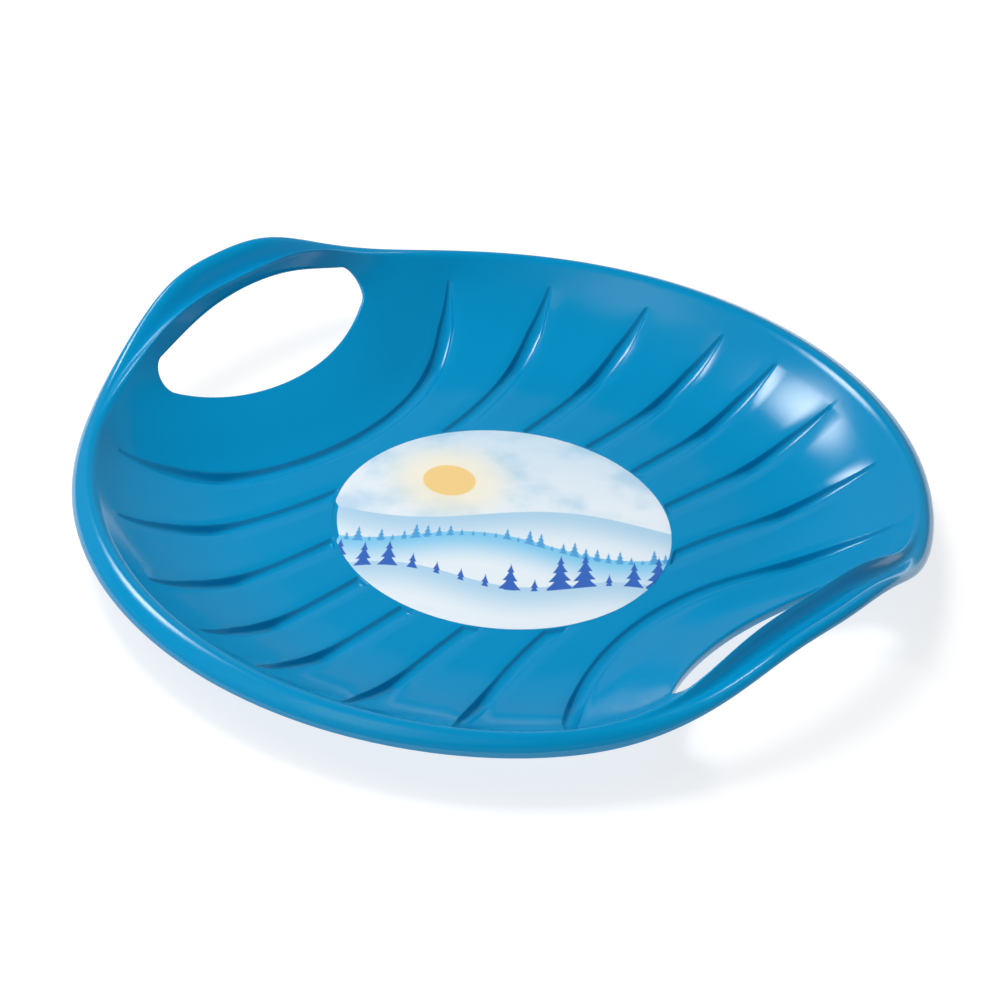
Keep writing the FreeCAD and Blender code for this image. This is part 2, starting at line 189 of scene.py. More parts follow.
# Where the print's sun stands, in label radii, and how many drifts of mist fit in one
SUN_PLACE = (-0.34, 0.42)
MIST_SCALE = 2.6

# Soft steps of the print: the low and the high end of a value, and the share of ink at each
MIST_STEP = (0.42, 0.7, 0.0, 0.75)
SKY_STEP = (0.2, 1.1, 0.0, 0.5)
GLOW_STEP = (0.12, 0.5, 0.7, 0.0)
SUN_STEP = (0.15, 0.165, 0.9, 0.0)
HAZE_STEP = (0.0, 0.34, 0.0, 1.0)
HILL_STEP = (-0.006, 0.006, 0.0, 1.0)
FIR_SIDE_STEP = (-0.003, 0.003, 0.0, 1.0)
FIR_FOOT_STEP = (0.0, 0.006, 0.0, 1.0)

# Rows of hills from far to near, in label radii: height, swing, waves and shift of their tops, their ink, and
# the number, height and ink of the firs on them
HILLS = (
    (0.10, 0.09, 3.1, 0.4, "ice", 0, 0.0, "ice"),
    (-0.16, 0.08, 4.0, 2.0, "lagoon", 15, 0.15, "azure"),
    (-0.52, 0.07, 4.6, 4.3, "ice", 7, 0.34, "royal"),
)

# Firs: the chances between which their height grows, the lowest as a share of the tallest, how deep they
# stand in the hill, their tiers, and how far a tier flares with the spread that it starts from
FIR_CHANCE = (0.1, 0.9)
FIR_LOWEST = 0.35
FIR_SINK = 0.04
FIR_TIERS = 4
FIR_FLARE = (0.14, 0.12)

# The studio's pale walls end between these heights of the sky, as sines
WALL_TOP = (0.54, 0.62)

# The glowing floor: half its side in metres, its colour and roughness, and the distances from the sled's
# middle, in metres, between which its painted glow grows brighter. The glow is painted light: it lifts the
# shadow under the sled and turns the floor white further out
TABLE_HALF = 6.0
TABLE_COLOUR = (0.3, 0.3, 0.3, 1.0)
TABLE_ROUGHNESS = 0.9
PAINTED_GLOW_FADE = (0.3, 0.75)
WHITE = (1.0, 1.0, 1.0, 1.0)

# The key softbox fades between these distances from its middle, as shares of its sides
KEY_FADE = (0.08, 0.5)

# The lights: name, setting of their power, sides in metres, azimuth and elevation in degrees, distance in
# metres, and whether the gloss mirrors them
LIGHTS = (
    ("Sky sheet", "sky", (2.4, 2.0), (-110.0, 62.0), 2.8, False),
    ("Main softbox", "main", (0.9, 0.7), (-122.0, 74.0), 2.8, False),
    ("Key softbox", "key", (1.2, 0.95), (174.0, 48.0), 2.6, True),
)

# The camera: its lens and its film's width in millimetres, its place in metres, and its axes
CAMERA_LENS = 131.81
CAMERA_FILM = 36.0
CAMERA_PLACE = (1.28563, -1.57748, 1.45596)
CAMERA_RIGHT = (0.73786, 0.67083, 0.07448)
CAMERA_UP = (-0.43245, 0.38515, 0.81525)
CAMERA_BACK = (0.51821, -0.63375, 0.57429)

# Kinds of nodes that are used most, and settings for soft steps and for colours
MATHS = "ShaderNodeMath"
RANGE = "ShaderNodeMapRange"
MIX = "ShaderNodeMix"
SOFT = {"interpolation_type": "SMOOTHSTEP"}
RGBA = {"data_type": "RGBA"}


def length(name, default, description):
    """A length property, in metres."""
    return bpy.props.FloatProperty(
        name=name, description=description, default=default, min=0.0, precision=4, unit="LENGTH"
    )


def linear(hex_code):
    """The linear colour of an sRGB hex value."""
    channels = [int(hex_code[place : place + 2], 16) / 255.0 for place in (1, 3, 5)]
    return tuple(c / 12.92 if c <= 0.04045 else ((c + 0.055) / 1.055) ** 2.4 for c in channels)


def colour(name, hex_code, description):
    """A colour property with an sRGB hex default."""
    return bpy.props.FloatVectorProperty(
        name=name,
        description=description,
        default=linear(hex_code),
        size=3,
        min=0.0,
        max=1.0,
        subtype="COLOR",
    )


def strength(name, default, description, **unit):
    """A light's strength, with its unit where it has one."""
    return bpy.props.FloatProperty(name=name, description=description, default=default, min=0.0, **unit)


class SledSizes(bpy.types.PropertyGroup):
    """Sizes of the moulding and of its label's seat."""

    wall: length("Wall", 0.0028, "Thickness of the moulded wall")
    runner_wall: length("Runner wall", 0.0044, "Thickness of the floor under a groove")
    floor_level: length("Floor level", LABEL_HIGH[2], "Height of the floor's top side")
    flat_radius: length("Flat radius", 0.162, "Where the flat floor turns into the wall")
    wall_arc: length("Wall arc", 0.180, "Radius of the wall's curve, seen from the side")
    rim_crest: length("Rim crest", 0.2775, "Radius where the wall meets the rim's lip")
    rim_edge: length("Rim edge", SHELL_HIGH[1], "Reach of the rim's outer edge along Y")
    rim_roll: length("Rim roll", 0.004, "Radius of the rolled outer edge")
    rim_fall: length("Rim fall", 0.0022, "Fall of the lip towards its outer edge")
    rim_drop: length("Rim drop", 0.0055, "How far the rolled edge hangs down")
    handle_crest: length("Handle crest", 0.2555, "Reach of the handle's inner crest")
    handle_edge: length("Handle edge", SHELL_HIGH[0], "Reach of the handle's outer edge")
    handle_height: length("Handle height", 0.083, "Height of the handle's crest over the floor")
    handle_lip: length(
        "Handle lip", SHELL_HIGH[2] - LABEL_HIGH[2], "Height of the handle's outer edge over the floor"
    )
    handle_gutter: length("Handle gutter", 0.0105, "Depth of the hollow along the handle's top")
    bar_run: length("Bar run", 0.035, "Width of the steep wall below the handle")
    scoop_height: length("Scoop height", 0.023, "Rise of the wall inside the outer groove")
    scoop_run: length("Scoop run", 0.042, "Width over which that wall rises")
    hole_reach: length("Hole reach", 0.2518, "Reach of the hand hole's outer side")
    hole_grip: length("Hole grip", 0.545, "Radius of the hand hole's bowed outer side")
    hole_height: length("Hole height", 0.0516, "Width of the hand hole across the handle")
    hole_length: length("Hole length", 0.196, "Length of the hand hole along the handle")
    hole_corner: length("Hole corner", 0.010, "Corner radius of the hand hole")
    groove_pitch: length("Groove pitch", 0.0392, "Distance between grooves at the X axis")
    groove_width: length("Groove width", 0.011, "Width of a groove between its edges")
    groove_start: length("Groove start", 0.1178, "Radius of the grooves' inner ends")
    groove_heel: length("Groove heel", 0.197, "Radius where a groove's floor turns up")
    groove_tip: length("Groove tip", 0.264, "Radius of the grooves' outer ends")
    groove_taper: length("Groove taper", 0.034, "Length over which a groove narrows to its tip")
    groove_tip_depth: length("Groove tip depth", 0.0019, "Depth of a groove at its tip")
    label_radius: length("Label radius", LABEL_HIGH[0], "Radius of the film label")
    label_gap: length("Label gap", 0.0003, "Gap between the label and its seat")
    label_thickness: length("Label thickness", 0.0003, "Thickness of the film")


class SledColours(bpy.types.PropertyGroup):
    """Colours of the moulding and of the label's print."""

    plastic: colour("Plastic", "#008DC2", "Blue polypropylene")
    frost: colour("Frost", "#E6F0F7", "Palest tint of the print")
    ice: colour("Ice", "#AED4EC", "Pale blue tint of the print")
    lagoon: colour("Lagoon", "#7CC9EE", "Middle hills of the print")
    azure: colour("Azure", "#4FA3DC", "Far firs of the print")
    royal: colour("Royal", "#3567BE", "Near firs of the print")
    glow: colour("Glow", "#FFF1CF", "Light round the print's sun")
    gold: colour("Gold", "#F6CF7E", "Low sun of the print")


class StudioSettings(bpy.types.PropertyGroup):
    """Strength of the studio's lights."""

    sky: strength("Sky", 31.0, "Wide sheet that softens the shadow", subtype="POWER")
    main: strength("Main", 42.0, "Softbox that casts the shadow", subtype="POWER")
    key: strength("Key", 54.0, "Softbox that shows in the gloss", subtype="POWER")
    walls: strength("Walls", 0.2, "Light from the room's pale walls")
    ceiling: strength("Ceiling", 0.05, "Light from the room's dark ceiling")
    # Painted light: the floor's glow near the sled, which lifts the sled's shadow there
    table: strength("Table", 0.78, "Glow of the light table under the sled")


def add_node(tree, kind, inputs=(), **settings):
    """Adds a node, sets its options and inputs, and links the inputs that are sockets."""
    node = tree.nodes.new(kind)
    for name, value in settings.items():
        setattr(node, name, value)
    pairs = inputs.items() if isinstance(inputs, dict) else enumerate(inputs)
    for socket, value in pairs:
        if isinstance(value, bpy.types.NodeSocket):
            tree.links.new(value, node.inputs[socket])
        else:
            node.inputs[socket].default_value = value
    return node


def smooth_step(value, low, high):
    """0 below low, 1 above high, and an S curve between them."""
    share = min(max((value - low) / (high - low), 0.0), 1.0)
    return share * share * (3.0 - 2.0 * share)


def spaced(first, last, count):
    """Evenly spaced numbers from first to last."""
    return [first + (last - first) * step / (count - 1) for step in range(count)]


def mix(first, second, share):
    """The number that far between two others."""
    return first + (second - first) * share


def bend_points(start, corner, end, steps):
    """Points of a round corner between two straight runs, the first left out."""
    points = []
    for step in range(1, steps + 1):
        t = step / steps
        weights = ((1 - t) ** 2, 2 * t * (1 - t), t * t)
        points.append(
            tuple(
                sum(weight * place[axis] for weight, place in zip(weights, (start, corner, end)))
                for axis in range(len(start))
            )
        )
    return points


class Moulding:
    """The sled's surface rules, in millimetres, for the quarter where x and y aren't negative."""

    def __init__(self, sizes):
        for key in SledSizes.__annotations__:
            setattr(self, key, getattr(sizes, key) / MM)
        self.seat_radius = self.label_radius + self.label_gap
        self.crest_row = self.rim_crest - CREST_ROUND
        self.grooves = [self.groove_circle(number) for number in range(len(GROOVE_TIP_BEARINGS))]
        corner = self.hole_corner
        self.grip_x = self.hole_reach - self.hole_grip
        self.hole_corner_y = self.hole_length / 2 - corner
        grip_run = math.sqrt((self.hole_grip - corner) ** 2 - self.hole_corner_y**2)
        self.hole_corner_x = self.grip_x + grip_run
        self.grip_turn = math.atan2(self.hole_corner_y, grip_run)
        low = self.hole_reach - self.hole_height
        drop = self.hole_corner_x - low
        self.hole_arc = (drop**2 + self.hole_corner_y**2 - corner**2) / (2 * (drop - corner))
        self.hole_arc_x = low + self.hole_arc
        self.hole_turn = math.atan2(self.hole_corner_y, self.hole_arc_x - self.hole_corner_x)

    def groove_circle(self, number):
        """Centre on the X axis and radius of a groove's line."""
        apex = (number + 0.5) * self.groove_pitch
        bearing = GROOVE_TIP_BEARINGS[number]
        spread = self.groove_tip * math.cos(bearing) - apex
        rise = self.groove_tip * math.sin(bearing)
        radius = (spread**2 + rise**2) / (2 * spread)
        return apex + radius, radius

    def groove_fall(self):
        """How fast a groove gets shallower from its heel to its tip."""
        heel_depth = self.floor_level - self.runner_wall + self.dish_rise(self.groove_heel)
        return (heel_depth - self.groove_tip_depth) / (self.groove_tip - self.groove_heel)

    def dish_rise(self, ride, under=0.0):
        """Rise of the round wall over the floor."""
        arc = self.wall_arc + self.wall * under
        return arc - math.sqrt(arc**2 - max(ride - self.flat_radius, 0.0) ** 2)

    def swell(self, plain, handle, bearing, half_angle=CREST_HALF_ANGLE, power=CREST_POWER):
        """A size that goes from the plain rim's value to the handle's."""
        off_axis = min(abs(bearing), math.pi - abs(bearing))
        return mix(plain, handle, 1 / (1 + (off_axis / half_angle) ** power))

    def crest_radius(self, bearing):
        """Distance of the crest from the middle: round, and straight along the handle."""
        reach = max(self.rim_crest * math.cos(bearing) / self.handle_crest, 0.0)
        return self.rim_crest / (1 + reach**CREST_CORNER_POWER) ** (1 / CREST_CORNER_POWER)

    def crest_rise(self, bearing):
        """Rise of the crest over the floor."""
        return self.swell(self.dish_rise(self.rim_crest), self.handle_height, bearing)

    def edge_radius(self, bearing):
        """Distance of the outer edge from the middle, an ellipse."""
        return 1 / math.hypot(math.cos(bearing) / self.handle_edge, math.sin(bearing) / self.rim_edge)

    def edge_rise(self, bearing):
        """Rise of the lip's outer end over the floor."""
        plain = self.dish_rise(self.rim_crest) - self.rim_fall
        return self.swell(plain, self.handle_lip, bearing, EDGE_HALF_ANGLE, EDGE_POWER)

    def scoop_rise(self, x, y, cap):
        """Rise of the wall inside the outer groove, held under the crest."""
        centre, radius = self.grooves[-1]
        inside = radius - math.hypot(x - centre, y)
        if inside <= 0 or cap <= 0:
            return 0.0
        lift = self.scoop_height * (1 - math.exp(-((inside / self.scoop_run) ** SCOOP_POWER)))
        if lift < SPECK:
            return 0.0
        return (lift**-CAP_POWER + cap**-CAP_POWER) ** (-1 / CAP_POWER)

    def level(self, x, y):
        """Height of the top side inside the crest, with no grooves."""
        radius = math.hypot(x, y)
        bearing = math.atan2(y, x)
        crest = self.crest_radius(bearing)
        cap = self.crest_rise(bearing) - self.dish_rise(crest)
        scoop = self.scoop_rise(x, y, cap)
        scoop_end = self.scoop_rise(crest * math.cos(bearing), crest * math.sin(bearing), cap)
        near = max(1 - (crest - radius) / self.bar_run, 0.0)
        return self.floor_level + self.dish_rise(radius) + scoop + (cap - scoop_end) * near**BAR_POWER

    def slope(self, x, y):
        """Slope of the top side along x and along y."""
        step = 0.02
        along_x = (self.level(x + step, y) - self.level(x - step, y)) / (2 * step)
        along_y = (self.level(x, y + step) - self.level(x, y - step)) / (2 * step)
        return along_x, along_y

    def top_point(self, x, y):
        """A point on the top side."""
        return x, y, self.level(x, y)

    def under_point(self, x, y):
        """The point one wall below the top side."""
        along_x, along_y = self.slope(x, y)
        scale = self.wall / math.sqrt(1 + along_x**2 + along_y**2)
        return x + along_x * scale, y + along_y * scale, self.level(x, y) - scale

    def row_radii(self, spread):
        """Radii of the fan's rows, from the middle disc to the crest."""
        taper = self.groove_tip - self.groove_taper
        first = self.seat_radius - spread
        floor_first, floor_last, floor_count = FLOOR_ROWS
        wall_first, wall_count = WALL_ROWS
        radii = [first, first + SEAT_ROW]
        radii += [self.groove_start - spread + step for step in EDGE_STEPS]
        radii += spaced(self.groove_start + floor_first, self.groove_heel - floor_last, floor_count)
        radii += [self.groove_heel + step for step in HEEL_STEPS]
        radii += spaced(self.groove_heel + wall_first, taper, wall_count)
        radii += [taper + self.groove_taper * share for share in TAPER_SHARES]
        radii += [self.groove_tip - step for step in TIP_STEPS]
        radii += [mix(self.groove_tip - TIP_STEPS[-1], self.crest_row, share) for share in CREST_SHARES]
        return radii

    def band_lines(self, radius, spread):
        """Sideways places and groove shares of a groove's lines at a radius."""
        narrow = min(max((self.groove_tip - radius) / self.groove_taper, 0.0), 1.0)
        half = mix(GROOVE_TIP_HALF, self.groove_width / 2, narrow) + spread
        squeeze = min(1.0, half / (EDGE_ROOM * EDGE_IN))
        insets = [step * squeeze if step > 0 else step for step in EDGE_STEPS]
        insets = insets + [half] + insets[::-1]
        middle = len(EDGE_STEPS)
        past_tip = radius - (self.groove_tip - TIP_STEPS[-1])
        fan_out = max(past_tip, 0.0) / (self.crest_row - self.groove_tip + TIP_STEPS[-1])
        lines = []
        for place, inset in enumerate(insets):
            side = (place > middle) - (place < middle)
            offset = mix(side * (half - inset), CREST_LINE_GAP * (place - middle), min(fan_out, 1.0))
            lines.append((offset, smooth_step(inset, EDGE_OUT, EDGE_IN)))
        return lines

    def band_row(self, number, radius, spread):
        """One row of a groove's points, as radius, bearing and groove share."""
        centre, bend = self.grooves[number]
        outer = number == len(self.grooves) - 1
        start_share = 1.0 if outer else smooth_step(radius - self.groove_start + spread, EDGE_OUT, EDGE_IN)
        tip_share = smooth_step(self.groove_tip - radius + spread, EDGE_OUT, EDGE_IN)
        row = []
        for offset, share in self.band_lines(radius, spread):
            reach = bend - offset
            row_radius = max(radius, self.groove_heel) if outer else radius
            cosine = (centre**2 + reach**2 - row_radius**2) / (2 * centre * reach)
            turn = math.acos(min(max(cosine, -1.0), 1.0))
            if outer and radius < self.groove_heel:
                first = self.seat_radius - spread
                turn *= (radius - first) / (self.groove_heel - first)
            x = centre - reach * math.cos(turn)
            y = reach * math.sin(turn)
            row.append((math.hypot(x, y), math.atan2(y, x), share * start_share * tip_share))
        return row

    def panel_row(self, left, right, number, radius, first_ends):
        """One row of the panel between two grooves, as radius, bearing and groove share."""
        row = []
        first_radius = first_ends[0][0] if first_ends else 0.0
        for share in PANEL_SHARES[number]:
            place = [mix(left[axis], right[axis], share) for axis in (0, 1)]
            if number == len(PANEL_SHARES) - 1:
                hold = max(1 - (radius - first_radius) / (self.groove_heel - first_radius), 0.0)
                first_left, first_right = first_ends
                if share < CORNER_SHARE:
                    first = (first_radius, first_left[1] * (1 - share / CORNER_SHARE))
                else:
                    along = (share - CORNER_SHARE) / (1 - CORNER_SHARE)
                    first = (mix(first_radius, first_right[0], along), 0.0)
                for axis in (0, 1):
                    straight = mix(first_left[axis], first_right[axis], share)
                    place[axis] += hold * (first[axis] - straight)
            row.append((place[0], place[1], 0.0))
        return row

    def fan(self, spread):
        """Rows of points from the seat to the crest, as x, y and groove share."""
        rows = []
        first_ends = None
        for radius in self.row_radii(spread):
            row = [(radius, math.pi / 2, 0.0)]
            for number in range(len(self.grooves)):
                band = self.band_row(number, radius, spread)
                if first_ends is None and number == len(self.grooves) - 1:
                    first_ends = (row[-1], band[0])
                row += self.panel_row(row[-1], band[0], number, radius, first_ends)
                row += band
            rows.append([(r * math.cos(b), r * math.sin(b), share) for r, b, share in row])
        return rows

    def crest_inset(self, y):
        """How far inside the crest its rounding starts."""
        return mix(GRIP_CREST_ROUND, CREST_ROUND, smooth_step(abs(y), *CREST_ROUND_SPAN))

    def crest_line(self, bearing):
        """Where the crest's rounding starts, from the last groove to the X axis."""
        points = []
        for step in range(1, CREST_STEPS + 1):
            turn = bearing * (1 - step / CREST_STEPS)
            radius = self.crest_radius(turn)
            radius -= self.crest_inset(radius * math.sin(turn))
            points.append((radius * math.cos(turn), radius * math.sin(turn)))
        return points

    def hole_places(self, groove_line, crest_line):
        """The hand hole's edge opposite each point round it, as x, y and outward direction."""
        centre = self.grooves[-1][0]
        turns = [math.atan2(y, centre - x) for x, y in groove_line]
        places = []
        for turn in turns:
            share = turn / turns[-1]
            if share < LOW_ARC_SHARE:
                angle = math.pi - self.hole_turn * share / LOW_ARC_SHARE
                x = self.hole_arc_x + self.hole_arc * math.cos(angle)
                places.append((x, self.hole_arc * math.sin(angle), angle))
            else:
                along = (share - LOW_ARC_SHARE) / (1 - LOW_ARC_SHARE)
                places.append(self.hole_corner_place(mix(math.pi - self.hole_turn, math.pi / 2, along)))
        last_y = groove_line[-1][1]
        grip_end = self.hole_grip * math.sin(self.grip_turn)
        for x, y in crest_line:
            if y > grip_end:
                along = (y - grip_end) / (last_y - grip_end)
                places.append(self.hole_corner_place(mix(self.grip_turn, math.pi / 2, along)))
            else:
                angle = math.asin(y / self.hole_grip)
                places.append((self.grip_x + self.hole_grip * math.cos(angle), y, angle))
        return places

    def hole_corner_place(self, angle):
        """A point of the hand hole's rounded corner."""
        x = self.hole_corner_x + self.hole_corner * math.cos(angle)
        y = self.hole_corner_y + self.hole_corner * math.sin(angle)
        return x, y, angle

    def hole_start(self, place):
        """Where the wall starts to turn into the hand hole."""
        x, y, angle = place
        push = mix(*HOLE_PUSH, (1 - math.cos(angle)) / 2)
        return x + push * math.cos(angle), y + push * math.sin(angle), push

    def rim_section(self, x, y):
        """From the wall over the crest, the lip and the rolled edge, and back under to the wall."""
        bearing = math.atan2(y, x)
        cos_b, sin_b = math.cos(bearing), math.sin(bearing)
        crest = self.crest_radius(bearing)
        crest_level = self.floor_level + self.crest_rise(bearing)
        lip_end = self.edge_radius(bearing) - self.rim_roll
        lift = self.edge_rise(bearing) - self.crest_rise(bearing)
        gutter = self.swell(0.0, self.handle_gutter, bearing)
        bulge = self.swell(LIP_BULGE, 0.0, bearing)
        roll_start = math.atan(math.pi * bulge / (lip_end - crest))
        roll = self.rim_roll / (1 - math.sin(roll_start))
        inset = crest - math.hypot(x, y)
        lip_start = min(inset, LIP_START)

        def lip(radius):
            t = max((radius - crest) / (lip_end - crest), 0.0)
            rise = lift * (1 - math.cos(math.pi * t)) / 2 + bulge * math.sin(math.pi * t)
            return crest_level + rise - gutter * math.sin(math.pi * t**GUTTER_LEAN) ** 2

        along_x, along_y = self.slope(x, y)
        wall_angle = math.atan(along_x * cos_b + along_y * sin_b)
        first = (crest - inset, self.level(x, y))
        lip_point = (crest + lip_start, lip(crest + lip_start))
        top = [first] + bend_points(first, (crest, crest_level), lip_point, CREST_BEND_STEPS)
        lip_radii = spaced(crest + lip_start, lip_end, LIP_STEPS + 1)
        top += [(radius, lip(radius)) for radius in lip_radii[1:]]
        end_level = lip(lip_end)
        for step in range(1, ROLL_STEPS + 1):
            angle = mix(roll_start, math.pi / 2, step / ROLL_STEPS)
            out = roll * (math.sin(angle) - math.sin(roll_start))
            drop = roll * (math.cos(roll_start) - math.cos(angle))
            top.append((lip_end + out, end_level - drop))
        half = self.wall / 2
        edge = lip_end + self.rim_roll
        low = end_level - max(self.rim_drop - half, roll * math.cos(roll_start))
        for step in range(RIM_END_STEPS + 1):
            angle = math.pi * step / RIM_END_STEPS
            top.append((edge - half + half * math.cos(angle), low - half * math.sin(angle)))
        inner = self.rim_roll - self.wall
        under = []
        for step in range(ROLL_UNDER_STEPS + 1):
            angle = math.pi / 2 * (1 - step / ROLL_UNDER_STEPS)
            rise = inner * math.cos(angle)
            under.append((lip_end + inner * math.sin(angle), end_level - self.rim_roll + rise))
        corner = crest + self.wall * math.tan(wall_angle / 2)
        under_start = corner + lip_start
        for radius in spaced(lip_end, under_start, LIP_UNDER_STEPS + 1)[1:]:
            under.append((radius, lip(radius) - self.wall))
        last = self.under_point(x, y)
        under_corner = (corner, crest_level - self.wall)
        wall_point = (math.hypot(last[0], last[1]), last[2])
        under += bend_points(under[-1], under_corner, wall_point, UNDER_BEND_STEPS)[:-1]
        points = [(r * cos_b, r * sin_b, z, 0.0) for r, z in top]
        points += [(r * cos_b, r * sin_b, z, 1.0) for r, z in under]
        return points + [(*last, 1.0)]

    def hole_section(self, place):
        """From the wall over the hand hole's rounded edge, and back under to the wall."""
        x, y, push = self.hole_start(place)
        cos_h, sin_h = -math.cos(place[2]), -math.sin(place[2])
        along_x, along_y = self.slope(x, y)
        rise = along_x * cos_h + along_y * sin_h
        tilt = math.atan(rise)
        turn = math.pi / 2 + tilt
        run = push / math.cos(tilt)
        radius = run / math.tan(turn / 2)
        level = self.level(x, y)
        top = []
        for step in range(HOLE_ROUND_STEPS + 1):
            angle = turn * step / HOLE_ROUND_STEPS
            forward = radius * math.sin(angle)
            inward = radius * (1 - math.cos(angle))
            top.append(
                (
                    forward * math.cos(tilt) + inward * math.sin(tilt),
                    level + forward * math.sin(tilt) - inward * math.cos(tilt),
                )
            )
        flange = mix(*HOLE_FLANGE, (1 - math.cos(place[2])) / 2)
        half = self.wall / 2
        low = level + push * rise - run - flange + half
        for step in range(HOLE_END_STEPS + 1):
            angle = math.pi * step / HOLE_END_STEPS
            top.append((push - half + half * math.cos(angle), low - half * math.sin(angle)))
        last = self.under_point(x, y)
        last_along = (last[0] - x) * cos_h + (last[1] - y) * sin_h
        inside = push - self.wall
        corner = (inside, last[2] + (inside - last_along) * rise)
        under = bend_points(top[-1], corner, (last_along, last[2]), UNDER_BEND_STEPS)[:-1]
        points = [(x + s * cos_h, y + s * sin_h, z, 0.0) for s, z in top]
        points += [(x + s * cos_h, y + s * sin_h, z, 1.0) for s, z in under]
        return points + [(*last, 1.0)]


# What a net's points carry: the distance from the middle that sets the dish's height, the height over the
# dish, the share of a groove's depth, and 1 for the underside
NET_VALUES = ("ride", "above", "groove", "under")


class Net:
    """A quarter of the moulding laid flat, with the values that its node tree lifts it by."""

    def __init__(self, moulding):
        self.moulding = moulding
        self.places = []
        self.faces = []
        self.values = {key: [] for key in NET_VALUES}

    def point(self, place, groove=0.0, under=0.0):
        """Adds a point and returns its number."""
        rule = self.moulding
        x, y, z = place
        ride = min(math.hypot(x, y), rule.rim_crest)
        base = rule.floor_level - rule.wall * under + rule.dish_rise(ride, under)
        self.places.append((x * MM, y * MM, 0.0))
        self.values["ride"].append(ride * MM)
        self.values["above"].append((z - base) * MM)
        self.values["groove"].append(groove)
        self.values["under"].append(under)
        return len(self.places) - 1

    def sheet(self, rows):
        """Joins rows of points with four-sided faces."""
        for low, high in zip(rows, rows[1:]):
            for start in range(len(low) - 1):
                self.faces.append((low[start], low[start + 1], high[start + 1], high[start]))

    def disc(self, ring, rows, middle):
        """Closes a ring with smaller rings and a middle point."""
        self.sheet([ring] + rows)
        last = rows[-1]
        for start in range(len(last) - 1):
            self.faces.append((last[start], last[start + 1], middle))

    def add_skin(self, under, places=None):
        """Adds the floor and wall of one side, and returns the lines that its edges follow."""
        rule = self.moulding
        lift = rule.under_point if under else rule.top_point
        rows = rule.fan(rule.wall * under)
        self.sheet([[self.point(lift(x, y), share, under) for x, y, share in row] for row in rows])
        groove_line = [row[-1][:2] for row in rows]
        bearing = math.atan2(groove_line[-1][1], groove_line[-1][0])
        crest_line = rule.crest_line(bearing)
        places = places or rule.hole_places(groove_line, crest_line)
        inner = [rule.hole_start(place)[:2] for place in places]
        outer = groove_line + crest_line
        scoop = []
        for step in range(SCOOP_ROWS + 1):
            share = step / SCOOP_ROWS
            line = [(mix(a, c, share), mix(b, d, share)) for (a, b), (c, d) in zip(outer, inner)]
            scoop.append([self.point(lift(x, y), 0.0, under) for x, y in line])
        self.sheet(scoop)
        self.add_middle(rows[0], under)
        return [point[:2] for point in rows[-1]] + crest_line, places

    def add_middle(self, first_row, under):
        """Adds the disc of floor under the label."""
        rule = self.moulding
        radius = rule.seat_radius - rule.wall * under
        ring = [(x, y) for x, y, share in first_row if math.hypot(x, y) < radius + SPECK]
        level = rule.floor_level - rule.wall * under
        seat = level if under else level - rule.label_thickness
        rows = [
            [self.point((x * share, y * share, seat), 0.0, under) for x, y in ring] for share in SEAT_SHARES
        ]
        edge = [self.point((x, y, level), 0.0, under) for x, y in ring]
        self.disc(edge, rows, self.point((0.0, 0.0, seat), 0.0, under))

    def add_sections(self, sections):
        """Joins neighbouring sections of an edge."""
        self.sheet([[self.point(point[:3], 0.0, point[3]) for point in section] for section in sections])

    def mesh(self, name):
        """The net as a mesh that carries its values."""
        mesh = bpy.data.meshes.new(name)
        mesh.from_pydata(self.places, [], self.faces)
        for key, values in self.values.items():
            layer = mesh.attributes.new(key, "FLOAT", "POINT")
            layer.data.foreach_set("value", values)
        return mesh


# Lengths that the moulding's node tree takes in: name, size and description
SHELL_INPUTS = (
    ("Floor", "floor_level", "Height of the floor's top side"),
    ("Wall", "wall", "Thickness of the moulded wall"),
    ("Runner", "runner_wall", "Thickness of the floor under a groove"),
    ("Flat", "flat_radius", "Radius of the flat floor"),
    ("Arc", "wall_arc", "Radius of the wall's curve"),
    ("Tip", "groove_tip", "Radius of the grooves' outer ends"),
    ("Tip depth", "groove_tip_depth", "Depth of the grooves at their outer ends"),
)

# The dish, as results, operations and terms: a flat floor and a wall on an arc, whose underside is one wall
# further out
DISH_SUMS = (
    ("thick", "MULTIPLY", "Wall", "under"),
    ("arc", "ADD", "Arc", "thick"),
    ("past flat", "SUBTRACT", "ride", "Flat"),
    ("beyond", "MAXIMUM", "past flat", 0.0),
    ("arc square", "POWER", "arc", 2.0),
    ("beyond square", "POWER", "beyond", 2.0),
    ("height square", "SUBTRACT", "arc square", "beyond square"),
    ("height", "SQRT", "height square"),
    ("rise", "SUBTRACT", "arc", "height"),
    ("base", "SUBTRACT", "Floor", "thick"),
    ("dish", "ADD", "base", "rise"),
    ("level", "ADD", "dish", "above"),
)

# The grooves: a floor that is flat to the heel and then comes closer and closer to the wall
GROOVE_SUMS = (
    ("top side", "SUBTRACT", 1.0, "under"),
    ("bottom", "MULTIPLY", "Runner", "top side"),
    ("flat depth", "SUBTRACT", "level", "bottom"),
    ("to tip", "SUBTRACT", "Tip", "radius"),
    ("wall depth", "MULTIPLY_ADD", "to tip", "Fall", "Tip depth"),
    ("round depth", "SMOOTH_MIN", "flat depth", "wall depth", HEEL_ROUND * MM),
    ("depth", "MAXIMUM", "round depth", 0.0),
    ("cut", "MULTIPLY", "depth", "groove"),
    ("lifted", "SUBTRACT", "level", "cut"),
)


